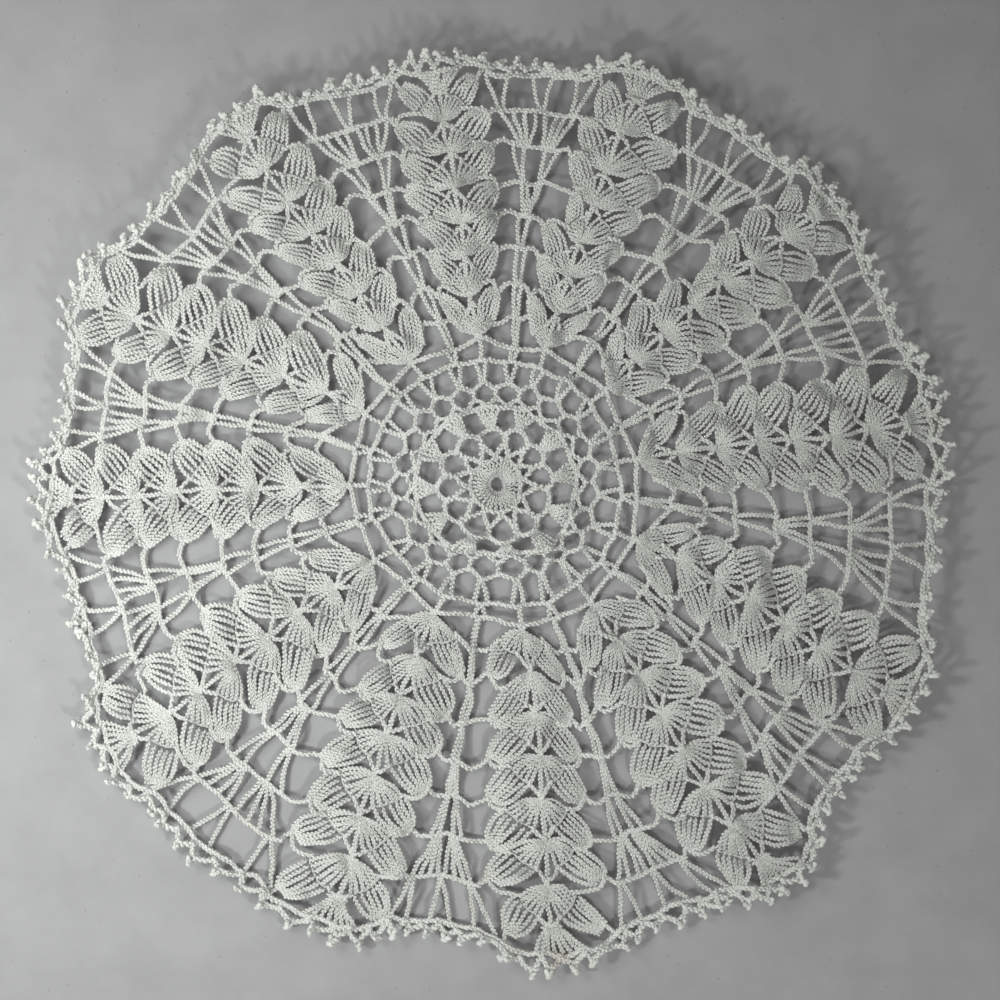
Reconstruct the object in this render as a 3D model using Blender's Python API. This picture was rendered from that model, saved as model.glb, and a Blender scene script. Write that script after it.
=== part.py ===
"""Lace doily, worked in rounds: one thin sheet of crochet with its open gaps cut through.

The doily has twelve repeats. Each repeat is a leaf column, which stands on the axis of the repeat, and a
ladder of bars, which stands between this column and the next one anticlockwise. A chart in two coordinates
describes one repeat, and the two tables below say where each column and each ladder really lies, because
hand-made lace is uneven. The sheet rests flat on its centre and lifts softly towards parts of its rim.
"""
import math
from collections import namedtuple

import bpy
from mathutils import Vector
from mathutils.geometry import delaunay_2d_cdt

MM = 0.001

# ---------------------------------------------------------------- driving dimensions (mm and degrees)
THREAD_THICKNESS = 1.8          # thickness of the plain net
LEAF_CROWN = 0.7                # how far the packed leaves stand above the net
CENTRE_HOLE_RADIUS = 2.5
CENTRE_HOLE_SIDES = 8
PICOTS_PER_REPEAT = 12
PICOT_HEIGHT = 2.6
ROWS = 8                        # rows of the ladders, and fans in a leaf column
ORIGIN_ROW = 0.65               # row coordinate of the first fan's origin
CORE_RADIUS = 24.0              # where the table's core angles hold
ROOT_RADIUS = 53.6              # the same for its root, mid and tip angles
MID_RADIUS = 111.0
TIP_RADIUS = 163.0
CHART_ROOT = 53.6               # radius of a column's root in the chart of the net rounds
CHART_BASE = 51.2               # radius of a ladder's base there
CHAIN = 0.065                   # half the width of a chain, in rows

# A leaf column: the angles of its axis at four radii, the radii of its first, fifth and last fan,
# the radius of the picots at its tip, how far its leaves reach on the clockwise and the anticlockwise
# side, and how high it lifts half way and at its tip.
Column = namedtuple("Column", "core root mid tip r_first r_fifth r_last r_picot reach_cw reach_ccw "
                              "lift_mid lift_tip")
COLUMNS = (
    Column(10.0, 11.0, 9.0, 9.0, 52.9, 110.6, 152.1, 170.0, 0.93, 1.00, 1.5, 4.0),
    Column(38.0, 41.5, 42.0, 40.2, 54.0, 111.4, 152.1, 166.6, 0.97, 0.93, 2.5, 9.0),
    Column(67.5, 70.4, 71.0, 70.0, 54.0, 108.0, 149.9, 163.4, 0.90, 0.90, 4.5, 10.0),
    Column(97.0, 97.5, 98.0, 98.5, 55.5, 110.3, 146.9, 163.6, 0.85, 0.97, 4.0, 9.0),
    Column(125.0, 125.2, 126.3, 125.5, 56.2, 115.1, 157.3, 169.5, 0.85, 0.93, 2.5, 8.0),
    Column(153.0, 151.4, 153.8, 154.6, 56.2, 118.0, 159.8, 174.2, 0.96, 1.00, 3.0, 9.0),
    Column(183.0, 180.5, 181.2, 181.0, 55.9, 117.7, 157.6, 172.4, 1.03, 0.92, 1.0, 2.0),
    Column(213.0, 211.8, 213.8, 214.5, 53.7, 117.3, 162.8, 180.2, 0.95, 1.08, 0.5, 1.5),
    Column(245.0, 244.8, 246.7, 249.2, 52.9, 116.6, 162.8, 181.2, 0.90, 1.07, 0.0, 1.0),
    Column(278.0, 280.0, 278.6, 277.2, 54.0, 116.6, 164.7, 182.6, 0.95, 1.00, 0.5, 1.5),
    Column(308.0, 308.5, 305.6, 305.0, 55.9, 119.1, 168.0, 186.1, 1.02, 1.08, 1.5, 4.0),
    Column(338.0, 338.5, 334.8, 332.2, 55.5, 116.9, 161.7, 177.2, 1.07, 0.92, 1.5, 4.0),
)

# A ladder: its angles at the same four radii, the radii of its base, of its fourth row and of the border,
# the radius of the picots there, and how high it lifts half way and at the border.
Ladder = namedtuple("Ladder", "core root mid tip r_base r_fourth r_border r_picot lift_mid lift_tip")
LADDERS = (
    Ladder(23.0, 25.3, 25.8, 25.0, 51.1, 101.8, 155.8, 161.2, 0.5, 5.0),
    Ladder(52.0, 55.6, 54.0, 55.0, 51.8, 101.8, 155.8, 160.6, 1.0, 7.0),
    Ladder(82.0, 83.5, 83.2, 84.0, 51.8, 99.9, 151.7, 157.4, 0.0, 4.0),
    Ladder(112.0, 109.8, 111.8, 111.0, 52.5, 103.2, 153.9, 160.2, 0.5, 5.0),
    Ladder(140.0, 137.3, 138.6, 140.5, 54.0, 107.3, 157.6, 162.8, 0.5, 6.0),
    Ladder(168.0, 165.2, 166.9, 168.5, 53.7, 106.9, 159.5, 165.0, 0.5, 4.0),
    Ladder(196.0, 194.8, 196.9, 198.8, 53.7, 105.5, 159.1, 165.2, 0.0, 1.0),
    Ladder(228.0, 228.0, 229.3, 230.0, 50.3, 108.8, 172.4, 180.0, 0.0, 0.5),
    Ladder(260.0, 261.4, 261.8, 262.2, 49.2, 101.8, 162.1, 170.2, 0.0, 0.5),
    Ladder(293.0, 292.8, 290.5, 293.0, 53.7, 108.0, 168.4, 177.6, 0.5, 1.0),
    Ladder(322.0, 324.0, 320.0, 318.8, 54.4, 106.6, 164.7, 172.6, 0.0, 2.0),
    Ladder(355.0, 353.6, 351.3, 350.6, 51.8, 103.6, 161.3, 166.2, 0.0, 3.0),
)

# How far the leaves reach towards the ladder, as a share of the way, from the root's row to the tip's.
LEAF_REACH = (0.75, 0.70, 0.66, 0.61, 0.56, 0.48, 0.38)
ROOT_LEAF_DROP = 0.10           # the first leaf sits this much lower than the others, in rows
TURNED_LEAVES = ((1, 3), (2, 3))    # column and row of the two leaves that lie turned under
TURNED_SHARE = 0.68             # what then shows of their reach, on their anticlockwise side
# Half the width of a ladder at each of its rows, as a share of the way to the column's axis.
LADDER_HALF = (0.15, 0.12, 0.10, 0.085, 0.08, 0.17, 0.30, 0.42, 0.55)

# The tuck: a crease below the centre where the net is pushed together.
TUCK_LINE = -23.0               # y of its crest, from the centre of the pattern
TUCK_FROM, TUCK_TO = -24.0, 42.0
TUCK_HEIGHT = 3.0
TUCK_RISE, TUCK_FALL = 7.0, 3.2
TUCK_PULL = 3.4                 # how far the net below it is drawn up
TUCK_REACH = 24.0               # how far below it the net is still drawn up
SETTLED = 0.6                   # a ripple lower than this lies flat under the lace's own weight


# ---------------------------------------------------------------- where the chart's points lie
def smooth(low, high, value):
    """0 below low, 1 above high and a smooth step between."""
    t = min(1.0, max(0.0, (value - low) / (high - low)))
    return t * t * (3.0 - 2.0 * t)


def blend(a, b, share):
    return a + (b - a) * share


def through(knots, values, x):
    """The polynomial through a few points, read at x."""
    total = 0.0
    for i, (knot, value) in enumerate(zip(knots, values)):
        for j, other in enumerate(knots):
            if j != i:
                value *= (x - other) / (knot - other)
        total += value
    return total


def angle_of(lane, radius):
    """The angle of a column's axis or a ladder's middle at a radius, in degrees."""
    knots = (CORE_RADIUS, ROOT_RADIUS, MID_RADIUS, TIP_RADIUS)
    radius = min(max(radius, CORE_RADIUS), 1.08 * TIP_RADIUS)
    return through(knots, (lane.core, lane.root, lane.mid, lane.tip), radius)


def lanes(repeat, s):
    """The column and the ladder on the side of it that s points to."""
    column = COLUMNS[repeat % 12]
    ladder = LADDERS[repeat % 12] if s >= 0.0 else LADDERS[(repeat - 1) % 12]
    return column, ladder


def lift_of(lane, radius):
    """How high a column or a ladder lies above the table at a radius."""
    half = lane.lift_mid * smooth(ROOT_RADIUS, MID_RADIUS, radius)
    return half + (lane.lift_tip - lane.lift_mid) * smooth(0.85 * MID_RADIUS, 1.05 * TIP_RADIUS, radius)


def tucked(x, y):
    """Draws the net up to the crease, and gives the crease's height."""
    span = smooth(TUCK_FROM, TUCK_FROM + 14.0, x) * (1.0 - smooth(TUCK_TO - 26.0, TUCK_TO, x))
    below = TUCK_LINE - y
    pull = smooth(0.0, 7.0, below) * (1.0 - smooth(7.0, TUCK_REACH, below))
    y += TUCK_PULL * span * pull
    rise = smooth(-TUCK_RISE, 0.0, TUCK_LINE - y) * (1.0 - smooth(0.0, TUCK_FALL, TUCK_LINE - y))
    return x, y, TUCK_HEIGHT * span * rise


def polar(repeat, s, radius):
    """A point at s between a column's axis (0) and the ladder beside it (1 or -1), at a real radius."""
    column, ladder = lanes(repeat, s)
    share = abs(s)
    turn = (angle_of(ladder, radius) - angle_of(column, radius) + 180.0) % 360.0 - 180.0
    angle = math.radians(angle_of(column, radius) + turn * share)
    x, y, crease = tucked(radius * math.cos(angle), radius * math.sin(angle))
    ripple = blend(lift_of(column, radius), lift_of(ladder, radius), smooth(0.0, 1.0, share))
    height = crease + ripple
    return Vector((x, y, height if height > SETTLED else 0.0))


def net(repeat, s, radius):
    """A point of the net rounds, given by the radius that it has in an even doily."""
    column, ladder = lanes(repeat, s)
    uneven = blend(column.r_first / CHART_ROOT, ladder.r_base / CHART_BASE, abs(s))
    return polar(repeat, s, radius * blend(1.0, uneven, smooth(22.0, CHART_BASE, radius)))


def row(repeat, s, v):
    """A point of the leaf columns and ladders, given by its row."""
    column, ladder = lanes(repeat, s)
    fans = (ORIGIN_ROW, ORIGIN_ROW + 4.0, ORIGIN_ROW + 7.0)
    on_column = through(fans, (column.r_first, column.r_fifth, column.r_last), v)
    on_ladder = through((0.0, 4.0, 8.0), (ladder.r_base, ladder.r_fourth, ladder.r_border), v)
    return polar(repeat, s, blend(on_column, on_ladder, abs(s)))


def rim(repeat, s, inset):
    """A point of the picot edge, inset from the tips of the picots."""
    column, ladder = lanes(repeat, s)
    return polar(repeat, s, blend(column.r_picot, ladder.r_picot, smooth(0.25, 0.62, abs(s))) - inset)


def reach(repeat, side, n):
    """How far leaf n reaches towards the ladder on one side."""
    column = COLUMNS[repeat % 12]
    if side < 0.0:
        return LEAF_REACH[n] * column.reach_cw
    turned = TURNED_SHARE if (repeat, n) in TURNED_LEAVES else 1.0
    return LEAF_REACH[n] * column.reach_ccw * turned


# ---------------------------------------------------------------- the gaps of one repeat
PENTAGON = ((0.0, 13.7), (0.60, 17.2), (0.45, 19.7), (0.0, 20.6), (-0.45, 19.7), (-0.60, 17.2))
OVAL = ((0.0, 19.4), (0.37, 21.8), (0.40, 25.4), (0.24, 28.4),
        (-0.24, 28.4), (-0.40, 25.4), (-0.37, 21.8))
WINDOW = ((0.0, 36.4), (0.25, 38.6), (0.29, 41.6), (0.23, 44.3),
          (-0.23, 44.3), (-0.29, 41.6), (-0.25, 38.6))
BAY = ((0.10, 46.8), (0.34, 45.6), (0.84, 45.6), (0.80, 49.4), (0.46, 50.4), (0.10, 51.8))
ROOT_WEDGE = ((0.36, 0.52), (0.83, 0.19), (0.85, 0.86), (0.60, 0.75), (0.41, 0.65))
HIDDEN_PENTAGON = 8             # this one lies folded away in the tuck


def at_ladder(place, repeat, offset, along):
    """A point at an offset from the middle of the ladder, clockwise if it is negative."""
    if offset <= 0.0:
        return place(repeat, 1.0 + offset, along)
    return place(repeat + 1, offset - 1.0, along)


def net_gaps(repeat):
    """The gaps of the net rounds that belong to one repeat, from the centre outwards."""
    gaps = []
    if repeat != HIDDEN_PENTAGON:
        gaps.append([net(repeat, s, r) for s, r in PENTAGON])
    gaps.append([at_ladder(net, repeat, s, r) for s, r in OVAL])
    for side in (1.0, -1.0):
        gaps.append([net(repeat, side * 0.5 + s, r) for s, r in WINDOW])
        gaps.append([net(repeat, side * s, r) for s, r in BAY])
    return gaps


def leaf_gap(repeat, side, j):
    """The gap between a leaf and the ladder, from the ladder's row j to the next."""
    n = j - 1
    edge = reach(repeat, side, n)
    low, high = j + CHAIN, j + 1.0 - CHAIN
    drop = ROOT_LEAF_DROP if n == 0 else 0.0
    points = (
        (0.90 * edge, low + 0.02 - drop),
        (1.0 - LADDER_HALF[j], low),
        (1.0 - LADDER_HALF[j + 1], high),
        (0.99 * edge + 0.02, high - 0.03 - drop),
        (1.03 * edge, j + 0.50 - drop),
    )
    return [row(repeat, side * s, v) for s, v in points]


def border_gap(repeat, side):
    """The gap between the last leaf and the first bars under the border."""
    edge = reach(repeat, side, 6)
    points = ((edge + 0.03, 7.12), (0.55, 7.08), (0.47, 7.88), (edge + 0.03, 7.80))
    return [row(repeat, side * s, v) for s, v in points]


def ladder_gaps(repeat):
    """The three wide gaps within a ladder, near the border."""
    middle = ((-0.06, 5.10), (0.06, 5.10), (0.10, 5.88), (-0.10, 5.88))
    gaps = [[at_ladder(row, repeat, s, v) for s, v in middle]]
    for side in (1.0, -1.0):
        bars = ((0.07, 7.10), (0.33, 7.10), (0.35, 7.72), (0.25, 7.90), (0.12, 7.78))
        gaps.append([at_ladder(row, repeat, side * s, v) for s, v in bars])
    return gaps


def anticlockwise(loop):
    """The loop, turned round if it runs clockwise seen from above."""
    doubled = sum(a.x * b.y - a.y * b.x for a, b in zip(loop, loop[1:] + loop[:1]))
    return loop if doubled > 0.0 else loop[::-1]


def gaps_of(repeat):
    gaps = net_gaps(repeat) + ladder_gaps(repeat)
    for side in (1.0, -1.0):
        gaps.append([row(repeat, side * s, v) for s, v in ROOT_WEDGE])
        gaps.extend(leaf_gap(repeat, side, j) for j in range(1, ROWS - 1))
        gaps.append(border_gap(repeat, side))
    return [anticlockwise(gap) for gap in gaps]


def centre_hole():
    turns = [2.0 * math.pi * i / CENTRE_HOLE_SIDES for i in range(CENTRE_HOLE_SIDES)]
    return [Vector((CENTRE_HOLE_RADIUS * math.cos(t), CENTRE_HOLE_RADIUS * math.sin(t), 0.0)) for t in turns]


# ---------------------------------------------------------------- the edge and the crowns of the leaves
def edge_of(repeat):
    """The picots of one repeat: a valley and a tip for each."""
    points = []
    for i in range(PICOTS_PER_REPEAT):
        s = (2.0 * i + 1.0) / PICOTS_PER_REPEAT - 1.0
        points.append(rim(repeat, s - 1.0 / PICOTS_PER_REPEAT, PICOT_HEIGHT))
        points.append(rim(repeat, s, 0.0))
    return points


def crowns_of(repeat):
    """Points within the leaves, each with its height above the plain net."""
    points = [(row(repeat, 0.0, ORIGIN_ROW + n), LEAF_CROWN) for n in range(ROWS)]
    for n in range(len(LEAF_REACH)):
        for side in (1.0, -1.0):
            edge = reach(repeat, side, n)
            points.append((row(repeat, side * 0.45 * edge, n + 1.05), LEAF_CROWN))
            points.append((row(repeat, side * 0.78 * edge, n + 1.55), LEAF_CROWN))
            points.append((row(repeat, side * 0.50 * edge, n + 1.30), 0.3 * LEAF_CROWN))
    return points


# ---------------------------------------------------------------- the solid
def flat_triangles(edge, gaps, crowns):
    """The sheet seen from above, cut into triangles, without its gaps."""
    points = [(p.x, p.y) for p in edge]
    faces = [list(range(len(edge)))]
    for gap in gaps:
        faces.append(list(range(len(points), len(points) + len(gap))))
        points.extend((p.x, p.y) for p in gap)
    points.extend((p.x, p.y) for p, _ in crowns)
    result = delaunay_2d_cdt([Vector(p) for p in points], [], faces, 1, 1e-6)
    placed, triangles, point_sources, face_sources = result[0], result[2], result[3], result[5]
    assert len(placed) == len(points), "two points of the chart fall together"
    order = [sources[0] for sources in point_sources]
    kept = [t for t, sources in zip(triangles, face_sources) if list(sources) == [0]]
    return [[order[i] for i in t] for t in kept]


def doily_mesh():
    edge, gaps, crowns = [], [centre_hole()], []
    for repeat in range(12):
        edge.extend(edge_of(repeat))
        gaps.extend(gaps_of(repeat))
        crowns.extend(crowns_of(repeat))
    triangles = flat_triangles(edge, gaps, crowns)
    lows = [p for loop in [edge, *gaps] for p in loop]
    heights = [THREAD_THICKNESS] * len(lows)
    lows.extend(p for p, _ in crowns)
    heights.extend(THREAD_THICKNESS + crown for _, crown in crowns)
    across = [p.x for p in lows]
    along = [p.y for p in lows]
    floor = min(p.z for p in lows)
    middle = Vector(((min(across) + max(across)) / 2.0, (min(along) + max(along)) / 2.0, floor))
    bottom = [(p - middle) * MM for p in lows]
    top = [p + Vector((0.0, 0.0, h * MM)) for p, h in zip(bottom, heights)]
    count = len(bottom)
    faces = [(a, c, b) for a, b, c in triangles] + [(a + count, b + count, c + count) for a, b, c in triangles]
    start = 0
    for loop in [edge, *gaps]:
        size = len(loop)
        for i in range(size):
            a, b = start + i, start + (i + 1) % size
            wall = (a, b, b + count, a + count) if loop is edge else (b, a, a + count, b + count)
            faces.append(wall)
        start += size
    mesh = bpy.data.meshes.new("doily")
    mesh.from_pydata(bottom + top, [], faces)
    mesh.validate()
    print("centre of the pattern in mm:", [round(-c, 3) for c in middle], "gaps:", len(gaps),
          "triangles:", sum(len(f) - 2 for f in faces))
    return mesh


def cotton():
    material = bpy.data.materials.new("cotton")
    material.use_nodes = True
    shader = material.node_tree.nodes["Principled BSDF"]
    shader.inputs["Base Color"].default_value = (0.72, 0.72, 0.68, 1.0)
    shader.inputs["Roughness"].default_value = 0.85
    shader.inputs["Metallic"].default_value = 0.0
    return material


def main():
    for old in list(bpy.data.objects):
        bpy.data.objects.remove(old, do_unlink=True)
    mesh = doily_mesh()
    mesh.materials.append(cotton())
    doily = bpy.data.objects.new("doily", mesh)
    bpy.context.scene.collection.objects.link(doily)


main()
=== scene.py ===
# %% [markdown]
# # A crocheted lace doily
# Lace is mostly air, and what is there is one long thread, looped into a few kinds of stitch. Two of
# them make nearly all of this doily: the post, a tall thin column of wrapped thread, and the chain, a
# braid of loops that carries the posts from one to the next. So the lesson has two halves. First a chart
# says where every post and chain runs, then Geometry Nodes turn those plain paths into thread.

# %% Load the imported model
import math
import random
from collections import namedtuple

import bpy
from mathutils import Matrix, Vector, noise


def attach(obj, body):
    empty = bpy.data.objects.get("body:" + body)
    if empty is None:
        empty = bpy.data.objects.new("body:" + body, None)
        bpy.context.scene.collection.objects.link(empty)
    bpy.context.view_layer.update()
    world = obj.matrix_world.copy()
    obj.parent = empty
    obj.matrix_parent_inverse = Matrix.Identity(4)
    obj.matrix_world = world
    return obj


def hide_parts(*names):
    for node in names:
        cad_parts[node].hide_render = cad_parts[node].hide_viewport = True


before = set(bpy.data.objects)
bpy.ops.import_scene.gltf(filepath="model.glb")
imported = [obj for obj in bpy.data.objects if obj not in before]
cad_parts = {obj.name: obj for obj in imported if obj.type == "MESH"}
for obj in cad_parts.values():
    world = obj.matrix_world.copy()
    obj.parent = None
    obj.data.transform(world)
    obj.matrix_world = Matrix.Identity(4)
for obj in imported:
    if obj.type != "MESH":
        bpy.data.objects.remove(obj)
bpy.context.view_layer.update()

# %% [markdown]
# ## The gauge
# Crochet has a gauge, as knitting has: how wide a stitch comes out with this thread and this hook. The
# chains here are about 2 mm wide, which is a fairly thick crochet cotton. All the lengths below are in
# millimetres, because that is how a maker measures, and one function, spot, turns them into metres.

# %% The gauge
MM = 0.001
LOOSE_HEIGHT = 2.1              # slack stitches stand this much higher than the flat ones
STRAND_HEIGHT = 1.5             # how high the middle of a strand lies above the table
REPEATS = 12
PATTERN_CENTRE = (1.491, 9.59)  # where the centre of the pattern lies in the frame
print("loose threads stand up to", STRAND_HEIGHT + LOOSE_HEIGHT, "mm off the table")

# %% [markdown]
# ## The chart of an uneven doily
# The pattern has twelve equal repeats, but hands, washing and drying pull each one its own way. It is
# easiest to draw one perfect repeat and then say where each of its twelve copies really went: one row of
# a table for each leaf column and one for each ladder of bars, with its angle at four radii, the radius
# of a few of its rows, how far the column's leaves reach to either side, and how high the lace lifts.

# %% The columns and ladders as they lie
Column = namedtuple("Column", "core root mid tip r_first r_fifth r_last r_picot reach_cw reach_ccw "
                              "lift_mid lift_tip")
COLUMNS = [Column(*lie) for lie in (
    (10.0, 11.0, 9.0, 9.0, 52.9, 110.6, 152.1, 170.0, 0.93, 1.00, 1.5, 4.0),
    (38.0, 41.5, 42.0, 40.2, 54.0, 111.4, 152.1, 166.6, 0.97, 0.93, 2.5, 9.0),
    (67.5, 70.4, 71.0, 70.0, 54.0, 108.0, 149.9, 163.4, 0.90, 0.90, 4.5, 10.0),
    (97.0, 97.5, 98.0, 98.5, 55.5, 110.3, 146.9, 163.6, 0.85, 0.97, 4.0, 9.0),
    (125.0, 125.2, 126.3, 125.5, 56.2, 115.1, 157.3, 169.5, 0.85, 0.93, 2.5, 8.0),
    (153.0, 151.4, 153.8, 154.6, 56.2, 118.0, 159.8, 174.2, 0.96, 1.00, 3.0, 9.0),
    (183.0, 180.5, 181.2, 181.0, 55.9, 117.7, 157.6, 172.4, 1.03, 0.92, 1.0, 2.0),
    (213.0, 211.8, 213.8, 214.5, 53.7, 117.3, 162.8, 180.2, 0.95, 1.08, 0.5, 1.5),
    (245.0, 244.8, 246.7, 249.2, 52.9, 116.6, 162.8, 181.2, 0.90, 1.07, 0.0, 1.0),
    (278.0, 280.0, 278.6, 277.2, 54.0, 116.6, 164.7, 182.6, 0.95, 1.00, 0.5, 1.5),
    (308.0, 308.5, 305.6, 305.0, 55.9, 119.1, 168.0, 186.1, 1.02, 1.08, 1.5, 4.0),
    (338.0, 338.5, 334.8, 332.2, 55.5, 116.9, 161.7, 177.2, 1.07, 0.92, 1.5, 4.0),
)]
Ladder = namedtuple("Ladder", "core root mid tip r_base r_fourth r_border r_picot lift_mid lift_tip")
LADDERS = [Ladder(*lie) for lie in (
    (23.0, 25.3, 25.8, 25.0, 51.1, 101.8, 155.8, 161.2, 0.5, 5.0),
    (52.0, 55.6, 54.0, 55.0, 51.8, 101.8, 155.8, 160.6, 1.0, 7.0),
    (82.0, 83.5, 83.2, 84.0, 51.8, 99.9, 151.7, 157.4, 0.0, 4.0),
    (112.0, 109.8, 111.8, 111.0, 52.5, 103.2, 153.9, 160.2, 0.5, 5.0),
    (140.0, 137.3, 138.6, 140.5, 54.0, 107.3, 157.6, 162.8, 0.5, 6.0),
    (168.0, 165.2, 166.9, 168.5, 53.7, 106.9, 159.5, 165.0, 0.5, 4.0),
    (196.0, 194.8, 196.9, 198.8, 53.7, 105.5, 159.1, 165.2, 0.0, 1.0),
    (228.0, 228.0, 229.3, 230.0, 50.3, 108.8, 172.4, 180.0, 0.0, 0.5),
    (260.0, 261.4, 261.8, 262.2, 49.2, 101.8, 162.1, 170.2, 0.0, 0.5),
    (293.0, 292.8, 290.5, 293.0, 53.7, 108.0, 168.4, 177.6, 0.5, 1.0),
    (322.0, 324.0, 320.0, 318.8, 54.4, 106.6, 164.7, 172.6, 0.0, 2.0),
    (355.0, 353.6, 351.3, 350.6, 51.8, 103.6, 161.3, 166.2, 0.0, 3.0),
)]
KNOT_RADII = (24.0, 53.6, 111.0, 163.0)     # where the four angles of a row of the tables hold
CHART_ROOT = 53.6               # where a column starts in the even chart
CHART_BASE = 51.2               # and where a ladder does
ORIGIN_ROW = 0.65               # the row of a column's first hole
LEAF_REACH = (0.76, 0.72, 0.68, 0.63, 0.58, 0.53, 0.45)     # of each pair, towards the ladder
TURNED_LEAVES = ((1, 3), (2, 3))            # column and pair of two leaves that lie turned under
TURNED_SHARE = 0.68
EXTRA_DROP = {0: 0.10, 6: -0.12}            # in rows: the first pair sits lower, the last reaches up
LADDER_HALF = (0.12, 0.10, 0.085, 0.08, 0.17, 0.30, 0.42)   # half a ladder's width at its rows, in u
GATHERED = {5: 0.70, 8: 0.40, 9: 0.45}      # these ladders lie drawn together, to a share of their width
print(len(COLUMNS), "columns and", len(LADDERS), "ladders")

# %% [markdown]
# ## From the chart to the table top
# A point of the chart is (repeat, u, along). u runs from the column's axis, 0, to the ladder beside it, 1
# or -1, and past 1 it goes on to the next column. Along is a radius in the net rounds near the centre,
# and a row number further out. The functions blend between a column's row of the table and a ladder's, so
# a path that is straight in the chart bends with the lace. A small crease runs below the centre, where
# the net is tucked together, and parts of the rim lift off the table.

# %% Where the chart's points lie
Crease = namedtuple("Crease", "y pull height")
CREASE = Crease(-23.0, 3.4, 3.0)
COLUMN_ROWS = (ORIGIN_ROW, ORIGIN_ROW + 4.0, ORIGIN_ROW + 7.0)      # where the tables give a radius
LADDER_ROWS = (0.0, 4.0, 8.0)
LAST_ROUND = (8.3, 8.0)         # the row of the last chain round, at a column and at a ladder
LIFT_STARTS = (0.1, 1.3)        # lifts under the first are pressed flat, and over the second they stay


def smooth(low, high, value):
    t = min(1.0, max(0.0, (value - low) / (high - low)))
    return t * t * (3.0 - 2.0 * t)


def blend(a, b, share):
    return a + (b - a) * share


def between(a, b, share):
    return tuple(blend(p, q, share) for p, q in zip(a, b))


def through(knots, values, x):
    """The polynomial through a few points, read at x."""
    total = 0.0
    for i, (knot, value) in enumerate(zip(knots, values)):
        for j, other in enumerate(knots):
            if j != i:
                value *= (x - other) / (knot - other)
        total += value
    return total


def angle_of(lane, radius):
    radius = min(max(radius, KNOT_RADII[0]), 1.08 * KNOT_RADII[3])
    return through(KNOT_RADII, (lane.core, lane.root, lane.mid, lane.tip), radius)


def lift_of(lane, radius):
    half = lane.lift_mid * smooth(KNOT_RADII[1], KNOT_RADII[2], radius)
    rim = smooth(0.85 * KNOT_RADII[2], 1.05 * KNOT_RADII[3], radius)
    return half + (lane.lift_tip - lane.lift_mid) * rim


def tucked(x, y):
    """Draws the net up to the crease, and gives the crease's height."""
    span = smooth(-24.0, -10.0, x) * (1.0 - smooth(16.0, 42.0, x))
    below = CREASE.y - y
    pulled = CREASE.pull * span * (smooth(0.0, 7.0, below) * (1.0 - smooth(7.0, 24.0, below)))
    rise = smooth(-7.0, 0.0, below - pulled) * (1.0 - smooth(0.0, 3.2, below - pulled))
    return x, y + pulled, CREASE.height * span * rise


def lanes(repeat, u):
    """The column and the ladder that a point lies between."""
    return COLUMNS[repeat % REPEATS], LADDERS[(repeat if u >= 0.0 else repeat - 1) % REPEATS]


def polar(repeat, u, radius):
    column, ladder = lanes(repeat, u)
    share = abs(u)
    turn = (angle_of(ladder, radius) - angle_of(column, radius) + 180.0) % 360.0 - 180.0
    angle = math.radians(angle_of(column, radius) + turn * share)
    x, y, crease = tucked(radius * math.cos(angle), radius * math.sin(angle))
    height = crease + blend(lift_of(column, radius), lift_of(ladder, radius), smooth(0.0, 1.0, share))
    return Vector((x, y, height * smooth(*LIFT_STARTS, height)))


def net(repeat, u, radius):
    """The net rounds: along is a radius in the even chart."""
    column, ladder = lanes(repeat, u)
    uneven = blend(column.r_first / CHART_ROOT, ladder.r_base / CHART_BASE, abs(u))
    return polar(repeat, u, radius * blend(1.0, uneven, smooth(22.0, CHART_BASE, radius)))


def row(repeat, u, v):
    """The columns and the ladders: along is a row."""
    column, ladder = lanes(repeat, u)
    on_column = through(COLUMN_ROWS, (column.r_first, column.r_fifth, column.r_last), v)
    on_ladder = through(LADDER_ROWS, (ladder.r_base, ladder.r_fourth, ladder.r_border), v)
    return polar(repeat, u, blend(on_column, on_ladder, abs(u)))


def edging(repeat, u, t):
    """The border: along is 0 on the last chain round and 1 at the tips of the picots."""
    column, ladder = lanes(repeat, u)
    inside = row(repeat, u, blend(*LAST_ROUND, smooth(0.30, 0.55, abs(u))))
    tips = blend(column.r_picot, ladder.r_picot, smooth(0.25, 0.62, abs(u)))
    return inside.lerp(polar(repeat, u, tips), t)


# %% [markdown]
# ## Unevenness
# Three sizes of noise move every point a little: a drift carries whole rows, a wobble moves a stitch, and
# a kink bends it. A fourth lifts the stitches that are slack. All are read from the place on the table,
# so threads that meet still meet.

# %% Where a stitch really lies
Stray = namedtuple("Stray", "most length layer")
DRIFT = Stray(1.5, 19.0, 90.0)
WOBBLE = Stray(0.70, 7.0, 40.0)
KINK = Stray(0.46, 3.3, 60.0)
SLACK = Stray(LOOSE_HEIGHT, 11.0, 10.0)
noise.seed_set(11)              # without a seed the noise would differ from run to run


def place_in(stray, p):
    return Vector((p.x, p.y, stray.layer)) / stray.length


def strayed(stray, p, share=1.0):
    """How far a stitch at p strays from its place."""
    return stray.most * share * noise.noise_vector(place_in(stray, p))


def spot(place, repeat, u, along, up=0.0):
    """A point of the lace in metres, given in the chart."""
    while u > 1.0:
        u, repeat = u - 2.0, repeat + 1
    while u < -1.0:
        u, repeat = u + 2.0, repeat - 1
    p = place(repeat, u, along)
    wobble, drift = strayed(WOBBLE, p), strayed(DRIFT, p)
    kink = strayed(KINK, p, smooth(7.0, 14.0, p.length))        # the disc is worked too tight to kink
    loose = SLACK.most * smooth(-0.25, 0.45, noise.noise(place_in(SLACK, p)))
    return Vector((p.x + wobble.x + drift.x + kink.x + PATTERN_CENTRE[0],
                   p.y + wobble.y + drift.y + kink.y + PATTERN_CENTRE[1],
                   p.z + STRAND_HEIGHT + loose + up)) * MM


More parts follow.
